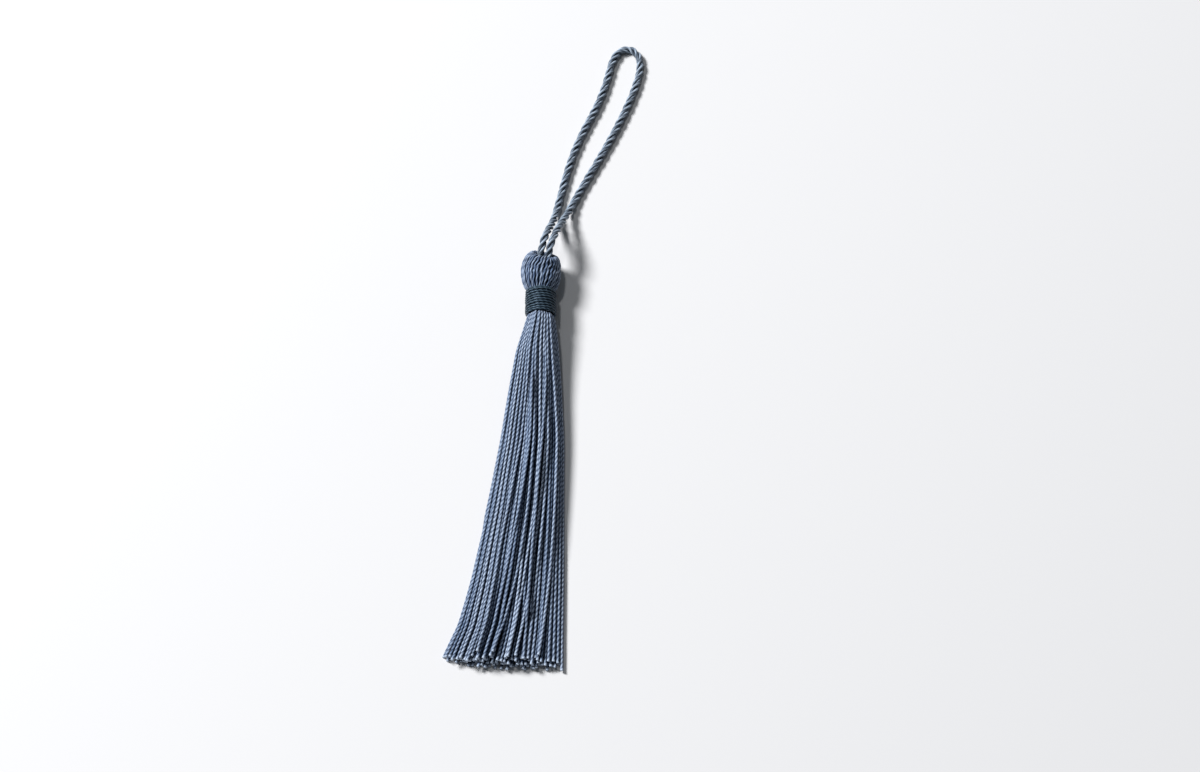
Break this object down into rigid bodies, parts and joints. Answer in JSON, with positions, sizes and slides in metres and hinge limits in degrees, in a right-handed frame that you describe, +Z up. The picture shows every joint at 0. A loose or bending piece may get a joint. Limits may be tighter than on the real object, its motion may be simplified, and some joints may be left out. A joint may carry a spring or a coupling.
{
  "type": "tassel",
  "caption": "Ball-head yarn tassel with a wound neck, a cut skirt of fine threads and a twisted hanging loop, lying on its side.",
  "frame": {"origin": "on the small flat spot under the head, at the level of the surface that the tassel lies on and straight below the middle of the ball", "axes": "+Y along the tassel from the skirt towards the hanging loop, +X across it, +Z up from the surface"},
  "size_m": [0.0355, 0.125, 0.0073],
  "materials": {
    "floss": "silky 2-ply floss, slate blue",
    "winding_thread": "silky wound thread, darker blue",
    "twisted_cord": "silky twisted cord, slate blue"
  },
  "bodies": {
    "root": {"yarn_tassel": "floss", "neck_binding": "winding_thread", "hanging_loop": "twisted_cord"}
  },
  "joints": []
}
